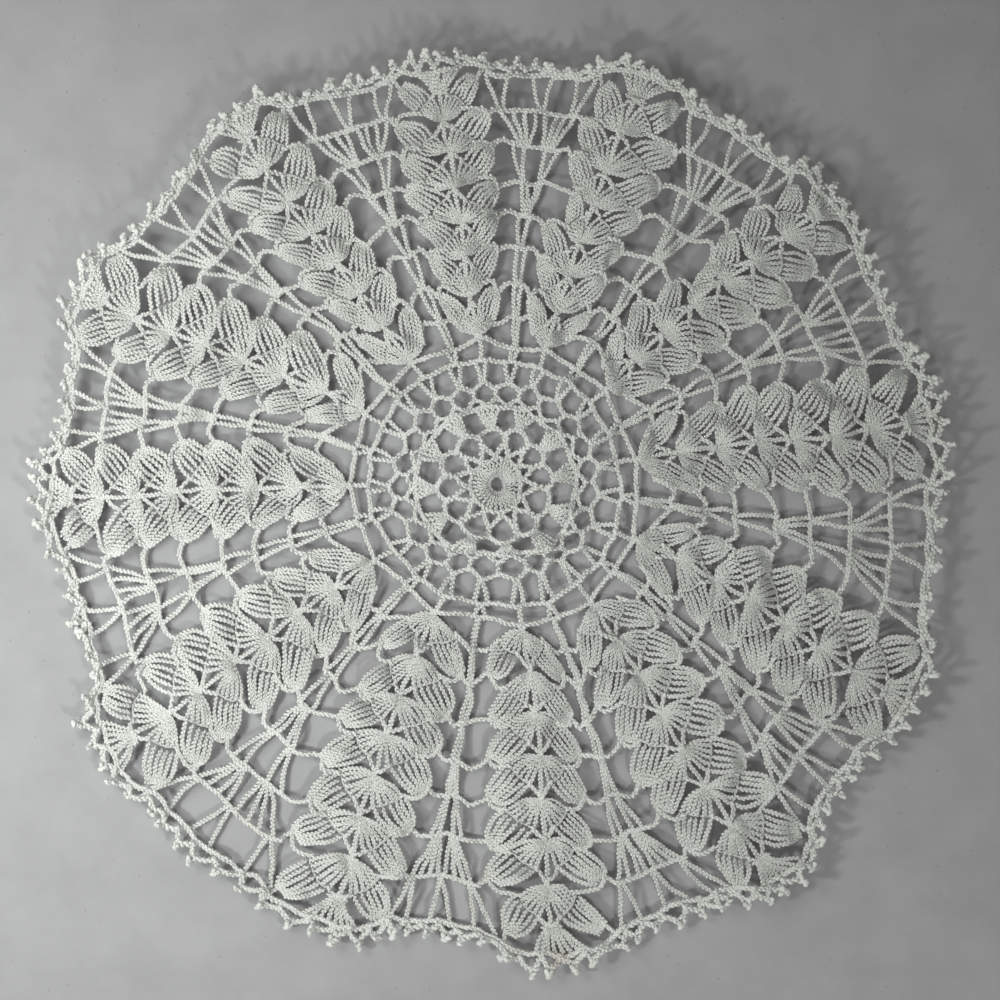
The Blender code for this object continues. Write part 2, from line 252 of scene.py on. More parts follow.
def luck(repeat, side, n, low, high):
    """A number between low and high that always comes out the same for the same leaf."""
    return random.Random(f"{repeat % REPEATS} {side > 0.0} {n} {low}").uniform(low, high)


def reach(repeat, side, n):
    """How far a leaf reaches towards its ladder, in u."""
    column = COLUMNS[repeat % REPEATS]
    own = LEAF_REACH[n] * luck(repeat, side, n, 0.90, 1.07)
    if side < 0.0:
        return own * column.reach_cw
    return own * column.reach_ccw * (TURNED_SHARE if (repeat % REPEATS, n) in TURNED_LEAVES else 1.0)


def fallen(repeat, side, n):
    """How much lower than charted a leaf lies, in rows."""
    return luck(repeat, side, n, -0.08, 0.09) + EXTRA_DROP.get(n, 0.0)


print("a ladder's fourth bar lies at", [round(c, 4) for c in spot(row, 0, 1.0, 4.0)])

# %% [markdown]
# ## Paths
# A path is a list of points in the chart. Chains are drawn as smooth curves through their points, and
# posts as bows, which start at one point, lean towards a second and end at a third. Each path is kept
# with its width, because the same stitch is pulled thinner where many of them crowd into one hole.

# %% Two kinds of path
POST_SWAY = (0.012, 0.04)       # how far the middle of a post strays at most, in u and along
POST_WIDTHS = (0.92, 1.10)      # no two posts are equally thick
POST_STEPS = 9


class Work:
    """The stitches of one part of the doily. The fans are the posts that close the leaves."""

    def __init__(self):
        self.posts, self.fans, self.chains, self.picots = [], [], [], []
        self.hand = random.Random(5)            # no two stitches are pulled alike

    def chain(self, place, repeat, points, width=1.0, up=0.0, steps=6):
        """A chain that runs smoothly through the points (u, along)."""
        path = []
        ends = [points[0], *points, points[-1]]
        for a, b, c, d in zip(ends, ends[1:], ends[2:], ends[3:]):
            for k in range(steps):
                t = k / steps
                path.append([0.5 * (2.0 * q + (r - p) * t + (2.0 * p - 5.0 * q + 4.0 * r - s) * t * t
                                    + (3.0 * q - p - 3.0 * r + s) * t * t * t)
                             for p, q, r, s in zip(a, b, c, d)])
        path.append(points[-1])
        self.chains.append(([spot(place, repeat, u, along, up) for u, along in path],
                            [width] * len(path)))

    def post(self, place, repeat, start, lean, end, width=1.0, ups=(0.0, 0.0, 0.0), foot=1.0, slack=1.0,
             closing=False):
        """A post from start to end. foot is how thin it starts, as a share of its width."""
        points, widths = [], []
        lean = [c + slack * self.hand.uniform(-sway, sway) for c, sway in zip(lean, POST_SWAY)]
        width *= self.hand.uniform(*POST_WIDTHS)
        for k in range(POST_STEPS + 1):
            t = k / POST_STEPS
            a, b, c = (1.0 - t) ** 2, 2.0 * t * (1.0 - t), t * t
            u, along, up = (a * p + b * q + c * r
                            for p, q, r in zip((*start, ups[0]), (*lean, ups[1]), (*end, ups[2])))
            points.append(spot(place, repeat, u, along, up))
            widths.append(width * blend(foot, 1.0, smooth(0.0, 0.45, t)))
        (self.fans if closing else self.posts).append((points, widths))

    def straight(self, place, repeat, start, end, **how):
        self.post(place, repeat, start, between(start, end, 0.5), end, **how)


print("paths ready")

# %% [markdown]
# ## The centre: a packed disc in open net rounds
# The doily starts here. Thirty-three posts are worked into one small ring, so they are pinched thin at
# the hole and swell towards the edge of the disc. Then come open rounds: loops of chain, twelve small
# fans, two rounds of zigzag chains, and rounds of posts in pairs. Each is written for one repeat and
# worked twelve times, or for half a repeat where a round has twice as many stitches.

# %% The net rounds
DISC_POSTS = 33
SMALL_FAN_POSTS = 5
NET_CHAINS = {                  # each has a width, a height, and points of u and radius
    "ring at the hole": (0.42, 0.0, ((-1.0, 3.0), (0.0, 3.0), (1.0, 3.0))),
    "edge of the disc": (0.85, 0.4, ((-1.0, 9.7), (0.0, 9.7), (1.0, 9.7))),
    "loops": (1.0, 0.0, ((0.10, 10.9), (0.36, 12.3), (0.76, 14.4), (1.0, 15.4), (1.24, 14.4),
                         (1.64, 12.3), (1.90, 10.9))),
    "arches": (1.0, 0.0, ((-1.0, 18.9), (-0.62, 20.4), (0.0, 21.5), (0.62, 20.4), (1.0, 18.9))),
    "tops of the fans": (1.0, 0.0, ((-1.0, 29.1), (-0.5, 29.3), (0.0, 29.5), (0.5, 29.3), (1.0, 29.1))),
}
NET_HALF_CHAINS = {             # each has a width, and points of u and radius
    "first zigzag": (0.9, ((0.0, 30.1), (0.22, 31.1), (0.5, 32.5), (0.78, 31.1), (1.0, 30.1))),
    "second zigzag": (0.95, ((-0.5, 35.8), (-0.25, 37.0), (0.0, 38.0), (0.25, 37.0), (0.5, 35.8))),
    "tops of the pairs": (1.0, ((-0.5, 44.9), (-0.2, 45.3), (0.0, 45.7), (0.2, 45.3), (0.5, 44.9))),
}
LAST_NET_CHAIN = ((0.0, 0.60), (0.46, 0.29), (0.86, 0.03), (1.0, -0.01), (1.14, 0.03), (1.54, 0.29),
                  (2.0, 0.60))  # in rows, since the columns start from it


def pair(work, repeat, u, *points):
    """Two posts, one to each side of u. The points hold for the right one."""
    for side in (-1.0, 1.0):
        work.post(net, repeat, *((u + out * side, radius) for out, radius in points), width=1.08)


def net_rounds(work):
    for i in range(DISC_POSTS):
        u = 2.0 * REPEATS * i / DISC_POSTS
        work.straight(net, 0, (u, 3.3), (u, 9.3), width=0.80, foot=0.45, ups=(0.1, 1.0, 0.2))
    for k in range(REPEATS):
        for width, up, points in NET_CHAINS.values():
            work.chain(net, k, points, width=width, up=up)
        work.straight(net, k, (1.0, 15.4), (1.0, 18.9), width=1.45)
        for j in range(SMALL_FAN_POSTS):
            a = 2.0 * j / (SMALL_FAN_POSTS - 1.0) - 1.0
            work.straight(net, k, (0.17 * a, 21.9), (0.54 * a, 28.9), width=0.98, foot=0.66,
                          ups=(0.1, 0.7, 0.1))
        for u in (0.0, 1.0):
            for width, points in NET_HALF_CHAINS.values():
                work.chain(net, k, [(u + across, radius) for across, radius in points], width=width)
            work.straight(net, k, (u + 0.5, 32.9), (u + 0.5, 35.8), width=1.1)
            pair(work, k, u, (0.04, 38.3), (0.13, 41.5), (0.18, 44.8))
        work.straight(net, k, (0.0, 45.6), (0.0, 53.2), width=1.12)
        pair(work, k, 1.0, (0.04, 45.9), (0.09, 48.5), (0.14, 50.7))
        work.chain(row, k, LAST_NET_CHAIN)


centre = Work()
net_rounds(centre)
print("centre:", len(centre.posts), "posts and", len(centre.chains), "chains")

# %% [markdown]
# ## The leaf columns
# A leaf is two fans that face each other. Six posts spread from one hole to a slanting line of stitch
# tops, the crease, and six posts of the next round stand on that line and lean together at the tip. Two
# leaves, left and right, share each hole with a single post up the middle, and seven pairs in a row make
# a column, which ends in a small fan. The posts bow outwards and upwards, so each leaf is a puffed pocket
# with a round edge. No two leaves are pulled quite alike, and narrow ones have thinner posts.

# %% Leaves
LEAF_POSTS = 6                  # in each half of a leaf
TIP_POSTS = 8                   # in the small fan at the end of a column
USUAL_CREASE = 10.5             # millimetres; along a shorter crease the posts are thinner


def leaf(work, repeat, side, n):
    """One leaf, and the chains that tie it to its neighbours in the column."""
    edge, drop = reach(repeat, side, n), fallen(repeat, side, n)
    stand, tilt = luck(repeat, side, n, 0.0, 0.9), luck(repeat, side, n, -1.2, 1.2)     # millimetres
    hole = (0.0, n + ORIGIN_ROW)
    low = (0.67 * edge, n + 0.94 - drop)            # the crease runs from low to high
    high = (0.22 * edge, n + 1.37 - drop)
    outer_tip = (1.02 * edge, n + 1.70 - drop)      # the second fan closes between these two
    inner_tip = (0.80 * edge, n + 1.90 - drop)
    bulge = (1.04 * edge, n + 1.38 - drop)          # and its outermost posts bow past these two
    roof = (0.53 * edge, n + 1.79 - drop)

    def turned(*points):
        """The points on the leaf's own side of the column."""
        return [(side * u, along) for u, along in points]

    crease_ends = [spot(row, repeat, *p) for p in turned(low, high)]
    room = min(1.06, max(0.78, (crease_ends[0] - crease_ends[1]).length / MM / USUAL_CREASE))
    for j in range(LEAF_POSTS):
        t = j / (LEAF_POSTS - 1.0)
        puff = 0.05 * math.sin(math.pi * t)
        crease = between(low, high, t)
        crease = (crease[0] + puff * edge, crease[1] + puff * 0.5)
        foot = between(hole, crease, 0.07)
        bow = between((0.41 * edge, n + 0.66 - 0.6 * drop), (0.10 * edge, n + 1.03 - 0.6 * drop), t)
        work.post(row, repeat, *turned(foot, bow, between(foot, crease, 0.92)),
                  width=0.90 * room, foot=0.60, ups=(0.25, 0.8 + stand + tilt * (t - 0.5), 0.0))
        beyond = (crease[0] + 0.04, crease[1] + 0.06)
        work.post(row, repeat, *turned(beyond, between(bulge, roof, t), between(outer_tip, inner_tip, t)),
                  width=room * (1.06 if j in (0, LEAF_POSTS - 1) else 1.00), foot=0.90,
                  ups=(0.0, 1.3 + stand + 1.4 * tilt * (t - 0.5), 0.3), closing=True)
    middle = between(low, high, 0.5)
    work.chain(row, repeat, turned(low, (middle[0] + 0.05 * edge, middle[1] + 0.025), high),
               width=0.42, up=-0.1)
    work.chain(row, repeat, turned(high, (0.10 * edge, n + 1.53 - 0.6 * drop), (0.0, n + 1.61)),
               width=0.9, up=0.3)
    if n + 1 < len(LEAF_REACH):
        above = reach(repeat, side, n + 1)
        work.chain(row, repeat, turned(outer_tip, (0.96 * edge, n + 1.90 - drop), (0.84 * edge, n + 2.00),
                                       (0.67 * above, n + 1.97)), width=0.95, up=0.3)


def column(work, repeat):
    for n in range(len(LEAF_REACH)):
        for side in (-1.0, 1.0):
            leaf(work, repeat, side, n)
        work.straight(row, repeat, (0.0, n + 0.72), (0.0, n + 1.60), width=1.12, ups=(0.2, 0.3, 0.2))
    work.chain(row, repeat, [(-0.07, 7.66), (0.0, 7.62), (0.07, 7.66)], width=0.8, up=0.3)
    for j in range(TIP_POSTS):
        a = 2.0 * j / (TIP_POSTS - 1.0) - 1.0
        work.straight(row, repeat, (0.055 * a, 7.68), (0.195 * a, 8.24), width=0.96, foot=0.72,
                      ups=(0.2, 0.9, 0.2))


print("a leaf has", 2 * LEAF_POSTS, "posts")

# %% [markdown]
# ## The ladders
# Between two columns, pairs of posts climb like the sides of a ladder, one pair on top of the other. Near
# the border the ladder opens into a tree: four posts, then two V shapes, then a fan of eight, then three
# V shapes that carry the border. A chain runs across at every row and ties into the tips of the leaves on
# both sides, which is what holds the columns apart. The chains are slack, so most of them bow outwards,
# and some of the ladders lie drawn together like a cord.

# %% Ladders
PAIR_FOOT = 0.034               # half the width of a pair of posts, at the foot
PAIR_TOP = (0.070, 0.076, 0.084, 0.092)     # and at the top, for the first four rows
TREE = {                        # row: the foot and the top of each post, from the ladder's middle
    4: ((0.018, 0.075), (0.050, 0.140)),
    5: ((0.110, 0.130), (0.140, 0.275)),
    6: ((0.084, 0.057), (0.121, 0.172), (0.158, 0.286), (0.195, 0.400)),
    7: ((0.020, 0.100), (0.370, 0.345), (0.410, 0.530)),
}


def ladder(work, repeat):
    """The ladder anticlockwise of the column, with its chains."""
    gathered = GATHERED.get(repeat % REPEATS, 1.0)

    def beside(offset, k):
        return 1.0 + offset * blend(gathered, 1.0, smooth(4.0, 9.0, k))

    def tied(side, k, half):
        """Half of the chain that crosses at row k, bowed, from a leaf to the ladder."""
        column, n = (repeat if side > 0.0 else repeat + 1), max(k - 2, 0)
        share, along = (0.98, k - 0.23 - fallen(column, side, n)) if k > 1 else (0.68, 0.78)
        u = share * reach(column, side, n)
        u = u if side > 0.0 else 2.0 - u
        post = beside(-side * half, k)
        slack = abs(post - u) * luck(repeat, side, 10 + k, -0.15, 0.85)
        return [(u, along), (blend(u, post, 0.5), blend(along, k, 0.45) + slack), (post, k)]

    for k, top in enumerate(PAIR_TOP):
        for side in (-1.0, 1.0):
            work.post(row, repeat, (beside(side * PAIR_FOOT, k), k + 0.04),
                      (beside(side * blend(PAIR_FOOT, top, 0.75), k), k + 0.5),
                      (beside(side * top, k), k + 0.95), width=1.08, slack=3.0)
    for k, half in TREE.items():
        for side, posts in ((-1.0, half[::-1]), (1.0, half)):
            for foot, top in posts:
                work.post(row, repeat, (beside(side * foot, k), k + 0.05),
                          (beside(side * blend(foot, top, 0.6), k + 0.5), k + 0.5),
                          (beside(side * top, k + 1.0), k + 0.97), width=1.06, slack=3.0)
    for k, half in enumerate(LADDER_HALF, 1):
        work.chain(row, repeat, [*tied(1.0, k, half), (1.0, k - 0.03), *reversed(tied(-1.0, k, half))])


print("a ladder has", 2 * (len(PAIR_TOP) + sum(len(half) for half in TREE.values())), "posts")

# %% [markdown]
# ## The border
# The last round is a chain that runs over the tips of the columns and the tops of the ladders. Outside
# it, short chains zigzag out and back, and at each point a picot is worked, which stands out as a small
# knob. There are twelve to a repeat, and they lean and reach out unevenly, as such edgings do once they
# have been washed.

# %% Border
PICOTS = 12
ROUND_STEPS = 24                # the last chain round waves in and out at so many points


def border(work, repeat):
    rim = random.Random(repeat + 1)
    waves = [0.0, *(rim.uniform(-0.12, 0.14) for _ in range(ROUND_STEPS - 1)), 0.0]
    work.chain(edging, repeat, [(-1.0 + 2.0 * i / ROUND_STEPS, t) for i, t in enumerate(waves)],
               width=1.12, up=0.2, steps=3)
    last = len(LEAF_REACH) - 1
    for side in (-1.0, 1.0):
        leaf_tip = (side * 0.98 * reach(repeat, side, last), 7.75 - fallen(repeat, side, last))
        work.chain(row, repeat, [leaf_tip, (side * 0.46, 8.22)], width=0.9)
    feet = [0.20, *(rim.uniform(0.04, 0.34) for _ in range(PICOTS - 1)), 0.20]
    for i in range(PICOTS):
        u = (2.0 * i + 1.0) / PICOTS - 1.0
        half = 1.0 / PICOTS
        lean, top = rim.uniform(-0.45, 0.45) * half, rim.uniform(0.44, 0.68)
        work.chain(edging, repeat, [(u - half, feet[i]), (u - 0.55 * half, 0.7 * top), (u + lean, top),
                                    (u + 0.55 * half, 0.7 * top), (u + half, feet[i + 1])],
                   width=1.18, up=rim.uniform(0.1, 0.9), steps=3)
        out = spot(edging, repeat, u + lean, 1.0) - spot(edging, repeat, u, 0.6)
        work.picots.append((spot(edging, repeat, u + lean, top + 0.13, 1.0), out.normalized()))


QUARTERS = {"doily_quarter_a": range(0, 3), "doily_quarter_b": range(3, 6),
            "doily_quarter_c": range(6, 9), "doily_quarter_d": range(9, 12)}
quarters = {}
for name, repeats in QUARTERS.items():
    work = quarters[name] = Work()
    for repeat in repeats:
        column(work, repeat)
        ladder(work, repeat)
        border(work, repeat)
    print(name, len(work.posts), "posts,", len(work.chains), "chains,", len(work.picots), "picots")

# %% [markdown]
# ## Helpers for the node trees
# Geometry Nodes draw the same stitch along every path. A tree is easier to read when the script names
# its inputs after the stitch and not after the nodes, so one helper makes a tree with named sockets, and
# another one adds a node and links it.

# %% Building a tree
def new_group(kind, name, inputs, outputs):
    """A Geometry or Shader node group with named sockets: (name, kind of socket, value)."""
    group = bpy.data.node_groups.new(name, f"{kind}NodeTree")
    for way, rows in (("INPUT", inputs), ("OUTPUT", outputs)):
        for label, socket_kind, value in rows:
            socket = group.interface.new_socket(label, in_out=way,
                                                socket_type=f"NodeSocket{socket_kind}")
            if value is not None:
                socket.default_value = value
    return group


def new_tree(name, inputs):
    return new_group("Geometry", name, (("Paths", "Geometry", None), *inputs),
                     (("Stitches", "Geometry", None),))


def node(tree, kind, inputs=None, **settings):
    """A new node. Each entry of inputs is a value, or a socket to link from."""
    made = tree.nodes.new(kind)
    for key, value in settings.items():
        setattr(made, key, value)
    for key, value in (inputs or {}).items():
        if isinstance(value, bpy.types.NodeSocket):
            tree.links.new(value, made.inputs[key])
        else:
            made.inputs[key].default_value = value
    return made


def compute(tree, operation, a, b=0.0):
    return node(tree, "ShaderNodeMath", {0: a, 1: b}, operation=operation).outputs[0]


def random_turn(tree, turn, most, seed, strength=1.0):
    """A rotation, turned further by up to most about each of its own axes."""
    sway = node(tree, "FunctionNodeRandomValue", {"Min": [-a for a in most], "Max": most, "Seed": seed},
                data_type="FLOAT_VECTOR")
    scaled = node(tree, "ShaderNodeVectorMath", {0: sway.outputs["Value"], "Scale": strength},
                  operation="SCALE")
    return node(tree, "FunctionNodeRotateRotation", {"Rotation": turn, "Rotate By": scaled.outputs[0]},
                rotation_space="LOCAL").outputs[0]


def random_size(tree, sizes, seed):
    return node(tree, "FunctionNodeRandomValue", {2: sizes[0], 3: sizes[1], "Seed": seed}).outputs[1]


def laid_along(tree, way):
    """The rotation that lays a stitch along a way, with its upper side up."""
    return node(tree, "FunctionNodeAxesToRotation", {
        "Primary Axis": way, "Secondary Axis": (0.0, 0.0, 1.0)},
        primary_axis="Y", secondary_axis="Z").outputs[0]


def finish_tree(tree, geometry, material):
    """Every tree ends the same way: real geometry, smooth, with its thread material."""
    smooth_faces = node(tree, "GeometryNodeSetShadeSmooth", {"Geometry": geometry})
    real = node(tree, "GeometryNodeRealizeInstances", {"Geometry": smooth_faces.outputs["Geometry"]})
    dressed = node(tree, "GeometryNodeSetMaterial", {"Geometry": real.outputs["Geometry"],
                                                     "Material": material})
    node(tree, "NodeGroupOutput", {"Stitches": dressed.outputs["Geometry"]})


print("helpers ready")

# %% [markdown]
# ## A thread of loops
# Seen close up, a chain is a plait: each loop lies as a V on the one before. A post is thread wrapped
# round thread, and shows the same slanting loops, only smaller and closer. So one tree makes both. Two
# small spindles, one on each side and half a link apart, leaning outwards, give the plait when they are
# placed at every link. The spindle has only 16 triangles, because tens of thousands of links are laid.

# %% The plait tree
Plait = namedtuple("Plait", "width pitch lobe_length lobe_width lean offset looseness")
CHAIN = Plait(2.00, 1.70, 2.75, 1.40, 16.0, 0.35, 1.0)      # millimetres and degrees
POST = Plait(1.80, 1.45, 2.20, 1.16, 20.0, 0.31, 0.6)
LOBE_TIP = math.radians(9.0)    # each loop climbs a little over the one before
LINK_SWAY = (0.16, 0.3, 0.16)   # radians
LINK_SIZES = (0.91, 1.11)


def spindle(tree, length, width, rotation, place):
    """One loop of thread as it shows: a slim ball along Y, turned and moved."""
    ball = node(tree, "GeometryNodeMeshUVSphere", {"Segments": 4, "Rings": 3, "Radius": 0.5})
    uv = node(tree, "ShaderNodeVectorMath", {0: ball.outputs["UV Map"], 1: (1.0, length, 1.0)},
              operation="MULTIPLY")
    mapped = node(tree, "GeometryNodeStoreNamedAttribute", {
        "Geometry": ball.outputs["Mesh"], "Name": "UVMap", "Value": uv.outputs[0]},
        data_type="FLOAT2", domain="CORNER")
    slim = node(tree, "GeometryNodeTransform", {
        "Geometry": mapped.outputs[0], "Rotation": (math.radians(-90.0), 0.0, 0.0),
        "Scale": (width, width, length)})
    return node(tree, "GeometryNodeTransform", {"Geometry": slim.outputs[0], "Rotation": rotation,
                                                "Translation": place}).outputs[0]


def plait_tree(name, plait):
    tree = new_tree(name, (
        ("Width", "Float", plait.width * MM),
        ("Pitch", "Float", plait.pitch * MM),
        ("Looseness", "Float", plait.looseness),
        ("Seed", "Int", 7),
        ("Thread", "Material", None),
    ))
    given = node(tree, "NodeGroupInput").outputs
    curve = node(tree, "GeometryNodeMeshToCurve", {"Mesh": given["Paths"]})
    points = node(tree, "GeometryNodeCurveToPoints", {"Curve": curve.outputs[0],
                                                      "Length": given["Pitch"]}, mode="LENGTH")
    link = node(tree, "GeometryNodeJoinGeometry")
    for side in (-1.0, 1.0):
        lean = (LOBE_TIP, 0.0, math.radians(-side * plait.lean))
        place = (plait.offset * side, 0.25 * plait.pitch * side, 0.0)
        tree.links.new(spindle(tree, plait.lobe_length, plait.lobe_width, lean, place), link.inputs[0])
    turn = random_turn(tree, laid_along(tree, points.outputs["Tangent"]), LINK_SWAY,
                       given["Seed"], given["Looseness"])
    width = node(tree, "GeometryNodeInputNamedAttribute", {"Name": "width"})
    fat = compute(tree, "MULTIPLY", width.outputs[0], random_size(tree, LINK_SIZES, given["Seed"]))
    unit = compute(tree, "DIVIDE", given["Width"], plait.width)     # metres for each millimetre drawn
    across = compute(tree, "MULTIPLY", fat, unit)
    size = node(tree, "ShaderNodeCombineXYZ", {"X": across, "Y": unit, "Z": across})
    laid = node(tree, "GeometryNodeInstanceOnPoints", {
        "Points": points.outputs["Points"], "Instance": link.outputs[0],
        "Rotation": turn, "Scale": size.outputs[0]})
    finish_tree(tree, laid.outputs[0], given["Thread"])
    return tree


chain_links = plait_tree("Chain links", CHAIN)
wrapped_posts = plait_tree("Wrapped posts", POST)
print("inputs:", [i.name for i in chain_links.interface.items_tree if i.in_out == "INPUT"])

# %% [markdown]
# ## A picot as a knot
# Three chains closed into a ring make a picot. Drawn tight, the ring has no visible hole: it is a small
# round knot of loops that stands out from the rim. Four spindles of the same kind, crossed and drawn
# close, give that knot, and each picot is turned its own way.

# %% The picot tree
KNOT = (                        # degrees about the upright and the sideways axis, and millimetres
    (-32.0, 12.0, -0.55, 0.00), (32.0, -15.0, 0.55, 0.10), (78.0, 25.0, 0.05, 0.75),
    (100.0, -20.0, 0.0, 1.35),
)
KNOT_LOOP = (2.30, 1.55)        # length and width of one loop, in millimetres
PICOT_SWAY = (1.0, 1.0, 0.6)    # radians
PICOT_SIZES = (1.15, 1.75)


def picot_tree():
    tree = new_tree("Picots", (
        ("Size", "Float", MM),
        ("Seed", "Int", 3),
        ("Thread", "Material", None),
    ))
    given = node(tree, "NodeGroupInput").outputs
    knot = node(tree, "GeometryNodeJoinGeometry")
    for turned, tipped, across, out in KNOT:
        loop = spindle(tree, *KNOT_LOOP, (math.radians(tipped), 0.0, math.radians(turned)),
                       (across, out, 0.0))
        tree.links.new(loop, knot.inputs[0])
    points = node(tree, "GeometryNodeMeshToPoints", {"Mesh": given["Paths"]})
    way = node(tree, "GeometryNodeInputNamedAttribute", {"Name": "out"}, data_type="FLOAT_VECTOR")
    turn = random_turn(tree, laid_along(tree, way.outputs[0]), PICOT_SWAY, given["Seed"])
    size = compute(tree, "MULTIPLY", random_size(tree, PICOT_SIZES, given["Seed"]), given["Size"])
    worked = node(tree, "GeometryNodeInstanceOnPoints", {
        "Points": points.outputs[0], "Instance": knot.outputs[0], "Rotation": turn, "Scale": size})
    finish_tree(tree, worked.outputs[0], given["Thread"])
    return tree


picot_knots = picot_tree()
print("a picot has", len(KNOT), "loops")

# %% [markdown]
# ## Cotton thread as a material
# Mercerised cotton is off-white, nearly matt, with a slight sheen. Three things keep it from looking like
# plastic: the plies of the thread, which wrap round it on a slant and are drawn here as bump along the UV
# map; a colour that is never quite even; and age, which shows as a few faint tan spots where the doily
# once got damp. The plies and the spots are node groups, because every piece uses them.

# %% Helpers and node groups for thread
def ranged(tree, value, low, high, to_low=0.0, to_high=1.0, **settings):
    """The value, with low..high stretched to to_low..to_high."""
    return node(tree, "ShaderNodeMapRange", {"Value": value, "From Min": low, "From Max": high,
                                             "To Min": to_low, "To Max": to_high}, **settings).outputs[0]


def mixed(tree, share, a, b):
    """A colour between a and b."""
    return node(tree, "ShaderNodeMix", {0: share, 6: a, 7: b}, data_type="RGBA").outputs[2]


def new_material(name):
    material = bpy.data.materials.new(name)
    material.use_nodes = True
    return material, material.node_tree, material.node_tree.nodes["Principled BSDF"]


def plies_group():
    """Slanting plies with fine fibres on them, as a height from 0 to 1."""
    group = new_group("Shader", "Thread plies", (
        ("Across And Along", "Vector", None),
        ("Ply Length", "Float", 1.0),
        ("Fibre Share", "Float", 0.35),
    ), (("Height", "Float", None),))
    given = node(group, "NodeGroupInput").outputs
    parts = node(group, "ShaderNodeSeparateXYZ", {0: given["Across And Along"]}).outputs
    turns = compute(group, "DIVIDE", parts["Y"], given["Ply Length"])
    slant = compute(group, "ADD", turns, compute(group, "MULTIPLY", parts["X"], 2.0))
    wave = compute(group, "SINE", compute(group, "MULTIPLY", slant, 2.0 * math.pi))
    ridge = ranged(group, wave, -1.0, 1.0)
    stretched = node(group, "ShaderNodeVectorMath", {0: given["Across And Along"], 1: (9.0, 1.6, 1.0)},
                     operation="MULTIPLY")
    fibres = node(group, "ShaderNodeTexNoise", {"Vector": stretched.outputs[0], "Scale": 1.0,
                                                "Detail": 2.0, "Roughness": 0.6})
    both = node(group, "ShaderNodeMix", {0: given["Fibre Share"], 2: ridge, 3: fibres.outputs[0]})
    node(group, "NodeGroupOutput", {"Height": both.outputs[0]})
    return group


def spot_group():
    """A soft round mask about a place on the lace."""
    group = new_group("Shader", "Age spot", (
        ("Position", "Vector", None),
        ("Place", "Vector", None),
        ("Radius", "Float", 0.01),
        ("Strength", "Float", 0.5),
    ), (("Mask", "Float", None),))
    given = node(group, "NodeGroupInput").outputs
    away = node(group, "ShaderNodeVectorMath", {0: given["Position"], 1: given["Place"]},
                operation="DISTANCE")
    share = compute(group, "DIVIDE", away.outputs["Value"], given["Radius"])
    fade = ranged(group, share, 1.0, 0.2, interpolation_type="SMOOTHSTEP")
    node(group, "NodeGroupOutput", {"Mask": compute(group, "MULTIPLY", fade, given["Strength"])})
    return group


plies = plies_group()
age_spot = spot_group()
print("groups:", plies.name, "and", age_spot.name)

# %% The thread material
Spot = namedtuple("Spot", "x y radius strength")
SPOTS = (
    Spot(24.1, -165.4, 7.0, 0.45), Spot(-11.5, -147.0, 5.0, 0.70), Spot(-5.0, -134.0, 5.0, 0.50),
    Spot(8.0, -160.0, 6.0, 0.40), Spot(148.8, -71.8, 7.0, 0.40), Spot(115.5, -103.3, 7.0, 0.40),
    Spot(163.9, 34.0, 8.0, 0.35), Spot(-92.0, -118.0, 9.0, 0.25),
)
COTTON_LIGHT = (0.80, 0.82, 0.795, 1.0)
COTTON_DEEP = (0.65, 0.665, 0.64, 1.0)
AGED_TAN = (0.42, 0.30, 0.19, 1.0)
SPOT_HEIGHT = 3.0               # millimetres
PLY_DEPTH = 0.42


def thread_material(name, ply_length, bump):
    material, tree, shader = new_material(name)
    position = node(tree, "ShaderNodeTexCoord").outputs["Object"]
    uv = node(tree, "ShaderNodeUVMap", uv_map="UVMap").outputs["UV"]
    broad = node(tree, "ShaderNodeTexNoise", {"Vector": position, "Scale": 34.0, "Detail": 3.0})
    fine = node(tree, "ShaderNodeTexNoise", {"Vector": position, "Scale": 900.0, "Detail": 2.0})
    uneven = node(tree, "ShaderNodeMix", {0: 0.45, 2: broad.outputs[0], 3: fine.outputs[0]})
    spread = ranged(tree, uneven.outputs[0], 0.32, 0.66)
    mask = 0.0
    for aged in SPOTS:
        place = (aged.x * MM, aged.y * MM, SPOT_HEIGHT * MM)
        stain = node(tree, "ShaderNodeGroup", {"Position": position, "Place": place,
                                               "Radius": aged.radius * MM, "Strength": aged.strength},
                     node_tree=age_spot)
        mask = compute(tree, "MAXIMUM", stain.outputs["Mask"], mask)
    cotton = mixed(tree, spread, COTTON_DEEP, COTTON_LIGHT)
    coloured = mixed(tree, compute(tree, "MULTIPLY", mask, spread), cotton, AGED_TAN)
    tree.links.new(coloured, shader.inputs["Base Color"])
    wrapped = node(tree, "ShaderNodeGroup", {"Across And Along": uv, "Ply Length": ply_length},
                   node_tree=plies).outputs["Height"]
    relief = node(tree, "ShaderNodeBump", {"Height": wrapped, "Strength": bump,
                                           "Distance": PLY_DEPTH * MM})
    tree.links.new(relief.outputs[0], shader.inputs["Normal"])
    tree.links.new(ranged(tree, wrapped, 0.0, 1.0, 0.95, 0.78), shader.inputs["Roughness"])
    shader.inputs["Specular IOR Level"].default_value = 0.35
    shader.inputs["Sheen Weight"].default_value = 0.12
    return material


post_cotton = thread_material("post_cotton", 1.15, 0.9)
chain_cotton = thread_material("chain_cotton", 0.9, 0.8)
print("materials:", post_cotton.name, chain_cotton.name)

# %% [markdown]
# ## Working the thread
# Each part of the lace is now a set of bare paths. They go into a mesh of edges, the tree is put on it as
# a modifier, and the evaluated result becomes a plain mesh. The modifier's inputs are set by the
# identifiers of the sockets, since names may repeat. A quarter of the doily becomes two meshes: its
# rounds, with posts, chains and picots joined, and the fans that close its leaves. The centre becomes its
# chains and its posts.

# %% From paths to lace
def in_scene(name, data):
    """A new object, linked to the scene."""
    made = bpy.data.objects.new(name, data)
    bpy.context.scene.collection.objects.link(made)
    return made


